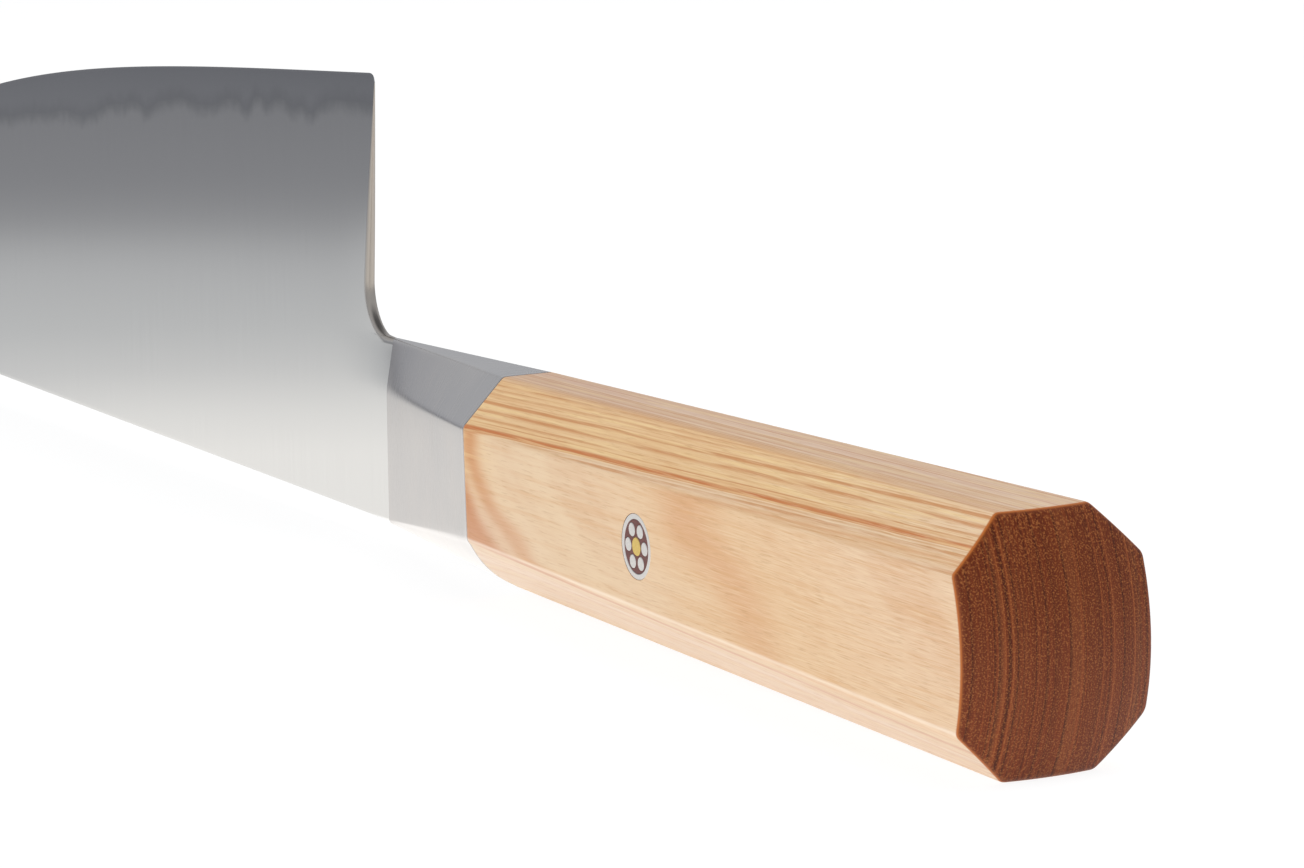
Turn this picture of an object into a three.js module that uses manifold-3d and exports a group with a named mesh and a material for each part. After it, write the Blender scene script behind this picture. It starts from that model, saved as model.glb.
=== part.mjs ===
// A gyuto: laminated steel blade, welded steel bolster and pinned octagonal wooden handle.
// Millimetres, +Z up. The knife stands edge up: +X runs to the butt of the handle, -X to the tip
// and +Z to the cutting edge. It is worked out from the centre of the face where bolster and
// handle meet, and then moved so that the origin is under the middle of its box.
import * as THREE from 'three';
import { mergeVertices } from 'three/addons/utils/BufferGeometryUtils.js';
import Module from 'manifold-3d';

const wasm = await Module();
wasm.setup();

// Blade outline
const bladeLength = 210;
const heelHeight = 45.6;
const tipHeight = 0.8;
const edgeAngle = 3.37;
const bellyPower = 3.7;
const spineDrop = 8.6;
const spineAngle = 0.5;
const tipDrop = 1.8;
const tipDropPower = 8;
const neckLength = 2.8;
const neckTop = 10.3;
const neckFoot = 3.15;
const neckRadius = 4.6;
const heelRounding = 1.4;

// Blade section and lamination
const spineThickness = 2.3;
const tipThickness = 1;
const grindPower = 0.85;
const coreThickness = 0.26;
const coreTipThickness = 0.16;
const weldGap = 0.02;
const weldWaveHeight = 0.45;
const weldWaveLengths = [43, 27];

// Bolster
const bolsterLength = 31.4;
const neckSideTop = 5.1;
const neckShoulder = 0.5;
const neckChamferHeight = 0.4;
const neckChamferWidth = 0.2;

// Handle
const handleLength = 101;
const junctionWidth = 14.2;
const junctionHeight = 20.6;
const junctionUpperChamfer = 4.45;
const junctionLowerChamfer = 5.1;
const buttWidth = 17.8;
const buttHeight = 22.2;
const buttChamfer = 4.5;
const domeWidthRadius = 22;
const domeHeightRadius = 18.5;
const lowerRounding = 0.55;
const lowerRoundingLength = 28;

// Tang and the glue round it
const tangLength = 66;
const tangThickness = 2.8;
const tangHeight = 12;
const tangEndHeight = 8.5;
const socketDepth = 12;
const seatGap = 0.3;
const glueThickness = 0.9;
const bondGap = 0.1;

// Mosaic pin
const pinDistance = 38.4;
const pinDiameter = 6;
const pinSleeveWall = 0.5;
const pinCentreDiameter = 1.7;
const pinRodCount = 6;
const pinResinWall = 0.2;
const pinRecess = 0.08;
const pinRodGap = 0.05;

// Fineness of the facets
const bladeStations = 44;
const claddingRows = [1, 0.75, 0.5, 0.3, 0.12];
const facetSteps = 4;
const roundingSteps = 4;
const domeRings = [0.8, 0.55, 0.3];
const rimPasses = 8;
const pinSegments = 32;
const rodSegments = 16;
const arcSegments = 12;
const mergeDistance = 1e-5;

const { lerp, degToRad } = THREE.MathUtils;
const slope = (degrees) => Math.tan(degToRad(degrees));
const point = (x, y, z) => new THREE.Vector3(x, y, z);
const onCircle = (radius, angle) => new THREE.Vector2(radius * Math.cos(angle), radius * Math.sin(angle));
const evenSteps = (count) => Array.from({ length: count + 1 }, (_, i) => i / count);

// Joins rings of points into one closed body. The rings run towards +X, and each goes round
// the X axis from +Y to +Z. A fan closes both ends, about the ring's middle or a given point.
function loft(rings, endCentre) {
  const count = rings[0].length;
  const middle = (ring) => ring.reduce((sum, p) => sum.add(p), point(0, 0, 0)).divideScalar(count);
  const vertices = [...rings.flat(), middle(rings[0]), endCentre ?? middle(rings.at(-1))];
  const startCentre = rings.length * count;
  const index = [];
  rings.forEach((ring, i) => {
    for (let j = 0; j < count; j += 1) {
      const a = i * count + j;
      const b = i * count + (j + 1) % count;
      if (i === 0) index.push(startCentre, b, a);
      if (i === rings.length - 1) index.push(startCentre + 1, a, b);
      else index.push(a, b, b + count, a, b + count, a + count);
    }
  });
  const geometry = new THREE.BufferGeometry().setFromPoints(vertices);
  geometry.setIndex(index);
  return geometry;
}

// A plate: an outline in the XZ plane, with a thickness centred on the XZ plane.
function plate(shape, thickness) {
  const options = { depth: thickness, bevelEnabled: false, curveSegments: arcSegments };
  return new THREE.ExtrudeGeometry(shape, options).rotateX(Math.PI / 2).translate(0, thickness / 2, 0);
}

function toSolid(geometry) {
  const bare = geometry.clone();
  bare.deleteAttribute('normal');
  bare.deleteAttribute('uv');
  const merged = mergeVertices(bare, mergeDistance);
  return new wasm.Manifold(new wasm.Mesh({
    numProp: 3,
    vertProperties: new Float32Array(merged.attributes.position.array),
    triVerts: new Uint32Array(merged.index.array),
  }));
}

function cut(geometry, ...cutters) {
  const solid = cutters.reduce((rest, cutter) => rest.subtract(toSolid(cutter)), toSolid(geometry));
  const mesh = solid.getMesh();
  const result = new THREE.BufferGeometry();
  result.setAttribute('position', new THREE.BufferAttribute(mesh.vertProperties, 3));
  result.setIndex(new THREE.BufferAttribute(mesh.triVerts, 1));
  return result;
}

// Blade: s is the distance from the heel towards the tip, v goes from 0 at the edge to 1 at the spine
const heelX = -(bolsterLength + neckLength);
const alongBlade = (s) => Math.max(s, 0) / bladeLength;
const spineZ = (s) => -spineDrop + s * slope(spineAngle) + tipDrop * alongBlade(s) ** tipDropPower;

function bladeHeight(s) {
  const belly = heelHeight - bladeLength * slope(edgeAngle) - tipHeight;
  return heelHeight - s * slope(edgeAngle) - belly * alongBlade(s) ** bellyPower;
}

const halfSpine = (s) => lerp(spineThickness, tipThickness, alongBlade(s)) / 2;
const halfCore = (s) => lerp(coreThickness, coreTipThickness, alongBlade(s)) / 2;
const halfThickness = (s, v) => halfSpine(s) * v ** grindPower;
const rowOfThickness = (s, half) => (half / halfSpine(s)) ** (1 / grindPower);
const edgeZ = (s) => spineZ(s) + bladeHeight(s);
const rowZ = (s, v) => lerp(edgeZ(s), spineZ(s), v);

// Forge welding leaves the core wavy, so the line where the ground side meets it wanders too.
function weldRow(s) {
  const wave = weldWaveLengths.reduce((sum, length) => sum + Math.sin((2 * Math.PI * s) / length), 0);
  return rowOfThickness(s, halfCore(s)) + (weldWaveHeight * wave) / heelHeight;
}

const weldHalf = (s) => halfThickness(s, weldRow(s));

const stations = () => evenSteps(bladeStations).map((t) => lerp(bladeLength, -neckLength, t));

const bladePoint = (s, v, half) => point(heelX - s, half, rowZ(s, v));
const mirrored = (ring) => ring.map((p) => point(p.x, -p.y, p.z)).reverse();

function coreRing(s) {
  const weld = weldRow(s);
  const side = claddingRows.map((f) => bladePoint(s, lerp(weld, 1, f), weldHalf(s)));
  side.push(bladePoint(s, weld, weldHalf(s)));
  side.push(bladePoint(s, weld / 2, halfThickness(s, weld / 2)));
  return [...side, bladePoint(s, 0, 0), ...mirrored(side)];
}

function claddingRing(s) {
  const brink = weldHalf(s) + weldGap;
  const start = rowOfThickness(s, brink);
  const rows = claddingRows.map((f) => lerp(start, 1, f));
  const outer = rows.map((v) => bladePoint(s, v, halfThickness(s, v)));
  const inner = rows.map((v) => bladePoint(s, v, brink));
  return [...outer, bladePoint(s, start, brink), ...inner.reverse()];
}

// The choil: what is cut away behind the heel, down to the hollow of the neck.
const neckCentre = new THREE.Vector2(heelX - neckFoot + neckRadius, neckTop + neckRadius);

function choilCutter() {
  const heel = new THREE.Vector2(heelX, edgeZ(0));
  const away = heel.clone().sub(neckCentre);
  const tangent = away.angle() + Math.acos(neckRadius / away.length());
  const foot = onCircle(neckRadius, tangent).add(neckCentre);
  const below = heel.clone().lerp(foot, heelRounding / heel.distanceTo(foot));
  const ahead = new THREE.Vector2(heelX - heelRounding, edgeZ(heelRounding));
  const clear = neckLength + neckRadius;
  const shape = new THREE.Shape();
  shape.moveTo(ahead.x, ahead.y);
  shape.quadraticCurveTo(heel.x, heel.y, below.x, below.y);
  shape.lineTo(foot.x, foot.y);
  shape.absarc(neckCentre.x, neckCentre.y, neckRadius, tangent, 1.5 * Math.PI, false);
  shape.lineTo(neckCentre.x + clear, neckTop);
  shape.lineTo(neckCentre.x + clear, heel.y + clear);
  shape.lineTo(ahead.x, heel.y + clear);
  return plate(shape, 2 * spineThickness);
}

// Octagonal ring at x, from its half sizes, with facetSteps points along each facet.
// The two lower facets swell by a rounding.
function octagonRing(x, corners, rounding) {
  const right = corners.map(([y, z]) => new THREE.Vector2(y, z));
  const left = right.map((p) => new THREE.Vector2(-p.x, p.y)).reverse();
  const loop = [...right, ...left];
  const ring = [];
  loop.forEach((from, i) => {
    const to = loop[(i + 1) % loop.length];
    const outward = new THREE.Vector2(to.y - from.y, from.x - to.x).normalize();
    const isLower = i === 0 || i === loop.length - 2;
    for (let k = 0; k < facetSteps; k += 1) {
      const t = k / facetSteps;
      const swell = isLower ? 4 * rounding * t * (1 - t) : 0;
      const p = from.clone().lerp(to, t).addScaledVector(outward, swell);
      ring.push(point(x, p.x, p.y));
    }
  });
  return ring;
}

function handleCorners(x) {
  const t = x / handleLength;
  const y = lerp(junctionWidth, buttWidth, t) / 2;
  const z = lerp(junctionHeight, buttHeight, t) / 2;
  const upper = lerp(junctionUpperChamfer, buttChamfer, t);
  const lower = lerp(junctionLowerChamfer, buttChamfer, t);
  return [[y - lower, -z], [y, lower - z], [y, z - upper], [y - upper, z]];
}

const handleRounding = (x) => lowerRounding * Math.max(1 - x / lowerRoundingLength, 0) ** 2;
const handleRing = (x) => octagonRing(x, handleCorners(x), handleRounding(x));
const domeX = (p) => handleLength - p.y ** 2 / (2 * domeWidthRadius) - p.z ** 2 / (2 * domeHeightRadius);

// The rim: each of its points lies on its own facet and on the dome of the butt.
function rimRing() {
  return handleRing(handleLength).map((_, i) => {
    let x = handleLength;
    for (let turn = 0; turn < rimPasses; turn += 1) x = domeX(handleRing(x)[i]);
    return handleRing(x)[i].setX(x);
  });
}

function handleBlock() {
  const rounded = evenSteps(roundingSteps).map((t) => handleRing(t * lowerRoundingLength));
  const rim = rimRing();
  const dome = domeRings.map((scale) => rim.map((p) => {
    const inner = point(0, p.y * scale, p.z * scale);
    return inner.setX(domeX(inner));
  }));
  return loft([...rounded, rim, ...dome], point(handleLength, 0, 0));
}

// Bolster: at the weld its sides stand a small shoulder proud of the blade, at the handle it has the handle's octagon.
function neckCorners() {
  const s = -neckLength;
  const half = (z) => halfThickness(s, (edgeZ(s) - z) / bladeHeight(s));
  const bottom = spineZ(s);
  const lowerZ = bottom + neckChamferHeight;
  const side = (z) => half(z) + neckShoulder;
  return [[side(lowerZ) - neckChamferWidth, bottom], [side(lowerZ), lowerZ],
    [side(neckSideTop), neckSideTop], [half(neckTop), neckTop]];
}

function bolsterRing(x) {
  const t = -x / bolsterLength;
  const [atJunction, atNeck] = [handleCorners(0), neckCorners()];
  const corners = atJunction.map(([y, z], i) => [lerp(y, atNeck[i][0], t), lerp(z, atNeck[i][1], t)]);
  const reach = Math.min(x - neckCentre.x, 0);
  corners[3][1] += neckRadius - Math.sqrt(neckRadius ** 2 - reach ** 2);
  return octagonRing(x, corners, lowerRounding * (1 - t));
}

function bolsterBlock() {
  const hollowStart = Math.max(neckCentre.x, -bolsterLength);
  const hollow = [0, 0.5].map((t) => lerp(-bolsterLength, hollowStart, t));
  const straight = [0, 0.5, 1].map((t) => lerp(hollowStart, 0, t));
  return loft([...new Set([...hollow, ...straight])].map(bolsterRing));
}

// Tang: a flat bar from the bolster's socket into the handle, drawn with a margin for its slots.
function tangShape(startX, margin) {
  const half = (x) => lerp(tangHeight, tangEndHeight, Math.max(x, 0) / tangLength) / 2 + margin;
  const knee = startX < 0 ? [[0, half(0)]] : [];
  const upper = [[startX, half(startX)], ...knee, [tangLength + margin, half(tangLength)]];
  const lower = upper.map(([x, z]) => [x, -z]).reverse();
  return new THREE.Shape([...upper, ...lower].map(([x, z]) => new THREE.Vector2(x, z)));
}

function tangPlate(startX, margin) {
  return plate(tangShape(startX, margin), tangThickness + 2 * margin);
}

// Pin: everything in it runs across the handle, along Y.
const pinRadius = pinDiameter / 2;
const pinBore = pinRadius - pinSleeveWall;
const facetAtPin = lerp(junctionWidth, buttWidth, (pinDistance - pinRadius) / handleLength);
const pinLength = facetAtPin - 2 * pinRecess;
const pinCentreRadius = pinCentreDiameter / 2;
const rodCircle = (pinBore + pinCentreRadius) / 2;
const rodRoom = Math.min(pinBore - pinCentreRadius, 2 * rodCircle * Math.sin(Math.PI / pinRodCount));
const rodRadius = rodRoom / 2 - pinResinWall;

const throughHandle = 2 * Math.max(junctionWidth, buttWidth);
const pinMiddle = new THREE.Vector2(0, 0);

function rodPlaces() {
  const turns = evenSteps(pinRodCount).slice(1);
  return turns.map((turn) => onCircle(rodCircle, 2 * Math.PI * turn));
}

function rod(radius, place, length, segments) {
  const cylinder = new THREE.CylinderGeometry(radius, radius, length, segments);
  return cylinder.translate(pinDistance + place.x, 0, place.y);
}

const pinHole = (margin) => rod(pinRadius + margin, pinMiddle, throughHandle, pinSegments);
const pinRod = (radius, place) => rod(radius, place, pinLength, rodSegments);
const rodHole = (radius, place) => rod(radius + pinRodGap, place, throughHandle, rodSegments);

function pinSleeve() {
  const half = pinLength / 2;
  const wall = [[pinBore, -half], [pinRadius, -half], [pinRadius, half], [pinBore, half], [pinBore, -half]];
  const tube = new THREE.LatheGeometry(wall.map(([r, y]) => new THREE.Vector2(r, y)), pinSegments);
  return tube.translate(pinDistance, 0, 0);
}

function pinResin() {
  const block = rod(pinBore - pinRodGap, pinMiddle, pinLength, pinSegments);
  const holes = rodPlaces().map((place) => rodHole(rodRadius, place));
  return cut(block, rodHole(pinCentreRadius, pinMiddle), ...holes);
}

// Finishes
function finish(color, roughness, metalness) {
  return new THREE.MeshStandardMaterial({ color, roughness, metalness });
}

const coreSteel = finish('#6f7377', 0.35, 1);
const claddingSteel = finish('#b9bbbd', 0.3, 1);
const bolsterSteel = finish('#a9aaad', 0.4, 1);
const tangSteel = finish('#8d8f92', 0.5, 1);
const paleWood = finish('#e3c49a', 0.55, 0);
const glue = finish('#c9b07a', 0.3, 0);
const paleMetal = finish('#c8c9cb', 0.3, 1);
const brass = finish('#d8b65a', 0.3, 1);
const darkResin = finish('#4a211c', 0.35, 0);

const knife = new THREE.Group();

function addPiece(name, geometry, material) {
  const mesh = new THREE.Mesh(geometry, material);
  mesh.name = name;
  knife.add(mesh);
}

const choil = choilCutter();
addPiece('blade_core', cut(loft(stations().map(coreRing)), choil), coreSteel);
addPiece('cladding_left', cut(loft(stations().map(claddingRing)), choil), claddingSteel);
const rightRing = (s) => mirrored(claddingRing(s));
addPiece('cladding_right', cut(loft(stations().map(rightRing)), choil), claddingSteel);

const socket = tangPlate(-socketDepth, seatGap);
addPiece('bolster', cut(bolsterBlock(), socket), bolsterSteel);
addPiece('tang', cut(tangPlate(seatGap - socketDepth, 0), pinHole(seatGap)), tangSteel);

const slot = tangPlate(-socketDepth, glueThickness);
addPiece('handle', cut(handleBlock(), slot, pinHole(bondGap)), paleWood);
const glueFill = tangPlate(bondGap, glueThickness - bondGap);
addPiece('tang_epoxy_bed', cut(glueFill, tangPlate(-socketDepth, bondGap), pinHole(bondGap)), glue);

addPiece('pin_sleeve', pinSleeve(), paleMetal);
addPiece('pin_centre_rod', pinRod(pinCentreRadius, pinMiddle), brass);
rodPlaces().forEach((place, i) => addPiece(`pin_rod_${i + 1}`, pinRod(rodRadius, place), paleMetal));
addPiece('pin_resin', pinResin(), darkResin);

// The origin lies under the middle of the knife's box, on the surface that it stands on.
const box = new THREE.Box3().setFromObject(knife);
const centre = box.getCenter(point(0, 0, 0));
knife.position.set(-centre.x, -centre.y, -box.min.z);

export default knife;
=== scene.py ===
# %% [markdown]
# # A gyuto knife, standing edge up
# The knife is a laminated blade, a steel bolster and an octagonal wooden handle with a mosaic pin.
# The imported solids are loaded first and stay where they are. Every piece made here is worked out in
# millimetres from the middle of the face where bolster and handle meet, because all the sizes of a
# knife are taken from there, and is then moved into the frame in one place.

# %% Load the frame
import math

import bmesh
import bpy
import numpy as np
from mathutils import Matrix, Vector


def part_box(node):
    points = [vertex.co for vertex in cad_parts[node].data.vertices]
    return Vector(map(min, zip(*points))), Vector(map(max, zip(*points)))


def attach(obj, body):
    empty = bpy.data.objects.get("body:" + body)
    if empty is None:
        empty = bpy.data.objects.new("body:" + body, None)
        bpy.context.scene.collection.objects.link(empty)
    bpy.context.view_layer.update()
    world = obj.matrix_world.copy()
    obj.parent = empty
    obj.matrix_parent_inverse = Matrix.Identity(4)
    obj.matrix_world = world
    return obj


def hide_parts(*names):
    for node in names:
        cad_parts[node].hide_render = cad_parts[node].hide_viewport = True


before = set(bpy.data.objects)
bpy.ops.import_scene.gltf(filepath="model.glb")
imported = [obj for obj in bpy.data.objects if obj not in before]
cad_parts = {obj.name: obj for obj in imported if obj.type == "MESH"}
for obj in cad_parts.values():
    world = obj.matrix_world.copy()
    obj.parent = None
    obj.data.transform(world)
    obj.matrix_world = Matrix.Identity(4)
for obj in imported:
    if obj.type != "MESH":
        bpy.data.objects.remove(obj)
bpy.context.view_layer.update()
mm = 0.001
handle_low, handle_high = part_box("handle")
junction = np.array([handle_low.x, 0.0, (handle_low.z + handle_high.z) / 2])
print("junction of bolster and handle at", np.round(junction / mm, 2), "mm")

# %% [markdown]
# ## From points to pieces
# A piece could be modelled by hand, with the mouse. Here every surface is a grid of points from a
# formula, so each one can be read and changed. A grid becomes quads by numbering its points row by
# row. The finished shell is merged along its seams, its faces are turned outwards, and edges sharper
# than a set angle stay crisp while the rest shades smoothly.

# %% Grid and piece helpers
merge_distance = 1e-4
crisp_angle = math.radians(40)


def grid_faces(rows, columns, closed):
    """Quads of a grid: point (i, j) joins (i, j+1), (i+1, j+1) and (i+1, j). A closed grid wraps in j."""
    span = columns if closed else columns - 1
    i, j = np.meshgrid(np.arange(rows - 1), np.arange(span), indexing="ij")
    here = i * columns + j
    beside = i * columns + (j + 1) % columns
    return np.stack([here, beside, beside + columns, here + columns], axis=-1).reshape(-1, 4).tolist()


def add_object(name, data):
    """A new object in the scene that shows the data."""
    made = bpy.data.objects.new(name, data)
    bpy.context.scene.collection.objects.link(made)
    return made


def add_piece(name, points, faces, finish, slot, *replaced, values=None):
    """One closed piece on the knife: points in mm from the junction, and named values at its points."""
    mesh = bpy.data.meshes.new(name)
    mesh.from_pydata((junction + mm * points).tolist(), [], faces)
    for label, numbers in (values or {}).items():
        attribute = mesh.attributes.new(label, "FLOAT", "POINT")
        attribute.data.foreach_set("value", numbers.ravel().astype(np.float32))
    shell = bmesh.new()
    shell.from_mesh(mesh)
    bmesh.ops.remove_doubles(shell, verts=shell.verts, dist=merge_distance * mm)
    bmesh.ops.recalc_face_normals(shell, faces=shell.faces)
    open_edges = sum(not edge.is_manifold for edge in shell.edges)
    shell.to_mesh(mesh)
    shell.free()
    mesh.shade_smooth()
    mesh.set_sharp_from_angle(angle=crisp_angle)
    piece = add_object(name, mesh)
    mesh.materials.append(finish)
    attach(piece, "root")
    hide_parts(*replaced)
    print(name, len(mesh.vertices), "points,", len(mesh.polygons), "faces,", open_edges, "open edges")
    return piece


# %% [markdown]
# ## Finishes
# Each finish is a node tree on object coordinates, so it sits in the material like grain in wood and
# does not slide when the knife or the camera moves. Colours are written as sRGB hex, as a colour
# picker shows them, and one function turns them to the linear values that the shader needs. One
# small function adds a node, with its settings and its links. Most values of a noise texture lie
# between 0.3 and 0.7, which a Map Range node takes as its inputs 1 and 2.

# %% Node helpers
noise_span = {1: 0.3, 2: 0.7}


def linear(code):
    """sRGB hex to linear colour: c/12.92 for small c, otherwise ((c + 0.055)/1.055) to the power 2.4."""
    c = np.array([int(code[i:i + 2], 16) for i in (1, 3, 5)]) / 255
    c = np.where(c <= 0.04045, c / 12.92, ((c + 0.055) / 1.055) ** 2.4)
    return (*c.tolist(), 1.0)


def set_inputs(tree, node, inputs):
    """Gives each input, keyed by name or number, a value or a link to a socket."""
    for key, value in inputs.items():
        if isinstance(value, bpy.types.NodeSocket):
            tree.links.new(value, node.inputs[key])
        else:
            node.inputs[key].default_value = value


def add_node(tree, kind, inputs=None, **settings):
    """Adds a shader node with its settings and inputs, and gives back its outputs."""
    made = tree.nodes.new("ShaderNode" + kind)
    for name, value in settings.items():
        setattr(made, name, value)
    set_inputs(tree, made, inputs or {})
    return made.outputs


def new_finish(name):
    """An empty material, its shader, the place in mm from the junction and the surface's normal."""
    material = bpy.data.materials.new(name)
    material.use_nodes = True
    tree = material.node_tree
    shader = tree.nodes["Principled BSDF"]
    coordinates = add_node(tree, "TexCoord")
    place = add_node(tree, "Mapping", {
        "Vector": coordinates["Object"],
        "Location": (-junction / mm).tolist(),
        "Scale": (1 / mm, 1 / mm, 1 / mm),
    })[0]
    return material, tree, shader, place, coordinates["Normal"]


# %% [markdown]
# ## Blade steel
# The blade is three layers forge-welded together and then ground and polished: soft stainless steel
# outside, hard carbon-rich steel in the middle, which shows as a darker band along the edge. The
# polish is fine, so it mirrors the white table softly and the grey room above it. The grinding lines
# run from spine to edge. They are about 0.05 mm apart on a real blade, too fine to show here, so
# they are drawn 0.3 mm apart and very faint. The heat of welding clouds both steels near the weld
# line: their tone deepens there, by a ragged distance.

# %% Blade finishes
grinding_line = 0.3
grinding_length = 18.0
grinding_contrast = 0.01
cloud_size = 2.0
cloud_reach = 1.6
deep_until = 0.6
deep_end = 2.6
# The filed edge's colour is painted: darker and browner than the steel, as shade and mirrored wood.
filed_shade_and_reflection = "#bdb6ae"
filed_roughness = 0.33


def blade_steel(name, colour, deep_colour, roughness):
    """Polished steel: near the weld line its tone clouds towards a deeper colour.

    Where filed it is rougher, and its colour is painted darker and browner, as shade and mirrored wood.
    """
    material, tree, shader, place, _ = new_finish(name)
    stretch = (1 / grinding_line, 1 / grinding_line, 1 / grinding_length)
    along_lines = add_node(tree, "Mapping", {"Vector": place, "Scale": stretch})[0]
    lines = add_node(tree, "TexNoise", {"Vector": along_lines, "Scale": 1.0, "Detail": 3.0})[0]
    weld = add_node(tree, "Attribute", attribute_name="weld_distance")["Fac"]
    cloud = add_node(tree, "TexNoise", {"Vector": place, "Scale": 1 / cloud_size, "Detail": 3.0})[0]
    ragged = add_node(tree, "Math", {0: cloud, 1: cloud_reach, 2: weld}, operation="MULTIPLY_ADD")[0]
    deep = add_node(tree, "MapRange", {0: ragged, 1: deep_until, 2: deep_end, 3: 1.0, 4: 0.0},
                    interpolation_type="SMOOTHSTEP")[0]
    base = add_node(tree, "Mix", {0: deep, 6: linear(colour), 7: linear(deep_colour)}, data_type="RGBA")[2]
    shades = {0: lines, **noise_span, 3: 1 - grinding_contrast, 4: 1 + grinding_contrast}
    shade = add_node(tree, "MapRange", shades)[0]
    lined = add_node(tree, "VectorMath", {0: base, "Scale": shade}, operation="SCALE")[0]
    # Where filed, the roughness rises and the colour turns to the painted shade and mirrored wood.
    filed_and_shaded = add_node(tree, "Attribute", attribute_name="filed_and_shaded")["Fac"]
    whole = add_node(tree, "Mix", {0: filed_and_shaded, 6: lined, 7: linear(filed_shade_and_reflection)}, data_type="RGBA")[2]
    polish = add_node(tree, "MapRange", {0: filed_and_shaded, 3: roughness, 4: filed_roughness})[0]
    set_inputs(tree, shader, {"Base Color": whole, "Roughness": polish, "Metallic": 1.0})
    return material


cladding_finish = blade_steel("polished_stainless_cladding", "#e2e2e1", "#c2c3c4", 0.12)
core_finish = blade_steel("polished_carbon_steel_core", "#cbccce", "#bfc0c2", 0.12)
print("blade finishes", cladding_finish.name, core_finish.name)

# %% [markdown]
# ## Bolster and tang steel
# The bolster was shaped on a grinding belt and left satin. Its lines run round it, from top to
# bottom, so they stretch in Y and Z and are short in X. The tang is the same steel, left rougher,
# and hidden in the wood.

# %% Bolster finishes
belt_line = 0.12
belt_length = 9.0
belt_patches = 0.12
belt_tone_low = 0.15
belt_tone_high = 0.4
groove_depth = 0.01
groove_strength = 0.15


def belt_ground_steel(name, colour, dark_colour, roughness, spread):
    """Satin steel: noise stretched round the bolster shades both the colour and the roughness."""
    material, tree, shader, place, _ = new_finish(name)
    stretch = (1 / belt_line, 1 / belt_length, 1 / belt_length)
    round_it = add_node(tree, "Mapping", {"Vector": place, "Scale": stretch})[0]
    lines = add_node(tree, "TexNoise", {"Vector": round_it, "Scale": 1.0, "Detail": 4.0})[0]
    patches = add_node(tree, "TexNoise", {"Vector": place, "Scale": belt_patches, "Detail": 2.0})[0]
    mixed = add_node(tree, "Math", {0: lines, 1: patches}, operation="MULTIPLY")[0]
    tone = add_node(tree, "MapRange", {0: mixed, 1: belt_tone_low, 2: belt_tone_high})[0]
    base = add_node(tree, "Mix", {0: tone, 6: linear(dark_colour), 7: linear(colour)}, data_type="RGBA")
    satin = {0: lines, **noise_span, 3: roughness - spread, 4: roughness + spread}
    relief = {"Height": lines, "Strength": groove_strength, "Distance": groove_depth * mm}
    set_inputs(tree, shader, {
        "Base Color": base[2],
        "Roughness": add_node(tree, "MapRange", satin)[0],
        "Normal": add_node(tree, "Bump", relief)[0],
        "Metallic": 1.0,
    })
    return material


bolster_finish = belt_ground_steel("belt_ground_stainless", "#ccc8c6", "#c3c1c1", 0.25, 0.03)
tang_finish = belt_ground_steel("rough_ground_tang_steel", "#a9abae", "#8a8c90", 0.5, 0.08)
print("bolster finishes", bolster_finish.name, tang_finish.name)

# %% [markdown]
# ## Oiled pale wood
# The handle is one block of pale hardwood, sawn so that its growth rings are almost flat sheets
# parallel to the sides. A number that grows across the sheets, here called depth, then draws the
# whole figure at once: fine lines where a bevelled facet cuts through many sheets, broad soft
# flames where a side runs almost along one. Fibres are fine light and dark lines, and pores short
# dashes along them. Oil soaks deep into the end grain, so the butt is dark red-brown, with an orange
# rim where the two meet. The surface's own normal tells which is which, since end grain is what
# faces along the fibres.

# %% Wood patterns
ring_spacing = 0.36
band_spacing = 1.7
ring_tilt = 0.018
ring_roughness = 0.6
figure_sway = 0.2
figure_low = 0.2
figure_high = 0.8
grain_sizes = {
    "figure": (34.0, 12.0, 10.0),
    "streaks": (20.0, 0.45, 0.45),
    "fibres": (6.0, 0.1, 0.1),
    "pores": (2.8, 0.13, 0.13),
    "flecks": (4.0, 0.14, 0.14),
}


def wood_patterns(tree, place, normal):
    """Values that the colours follow, by name: noises, depth across the rings, places and facings."""
    values = {}
    for label, size in grain_sizes.items():
        stretch = tuple(1 / length for length in size)
        scaled = add_node(tree, "Mapping", {"Vector": place, "Scale": stretch})[0]
        values[label] = add_node(tree, "TexNoise", {"Vector": scaled, "Scale": 1.0, "Detail": 2.0})[0]
    across = (0.0, -1.0, ring_tilt)
    flat = add_node(tree, "VectorMath", {0: place, 1: across}, operation="DOT_PRODUCT")["Value"]
    sways = {0: values["figure"], 1: figure_low, 2: figure_high, 3: -figure_sway / 2, 4: figure_sway / 2}
    sway = add_node(tree, "MapRange", sways)[0]
    values["depth"] = add_node(tree, "Math", {0: flat, 1: sway}, operation="ADD")[0]
    for label, spacing, detail in (("rings", ring_spacing, 3.0), ("bands", band_spacing, 1.0)):
        noise = {"W": values["depth"], "Scale": 1 / spacing, "Detail": detail, "Roughness": ring_roughness}
        values[label] = add_node(tree, "TexNoise", noise, noise_dimensions="1D")[0]
    spot = add_node(tree, "SeparateXYZ", {0: place})
    facing = add_node(tree, "SeparateXYZ", {0: normal})
    values["flank"] = add_node(tree, "Math", {0: facing["Y"]}, operation="ABSOLUTE")[0]
    values.update(along=spot["X"], height=spot["Z"], up=facing["Z"], end=facing["X"])
    return values
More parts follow.
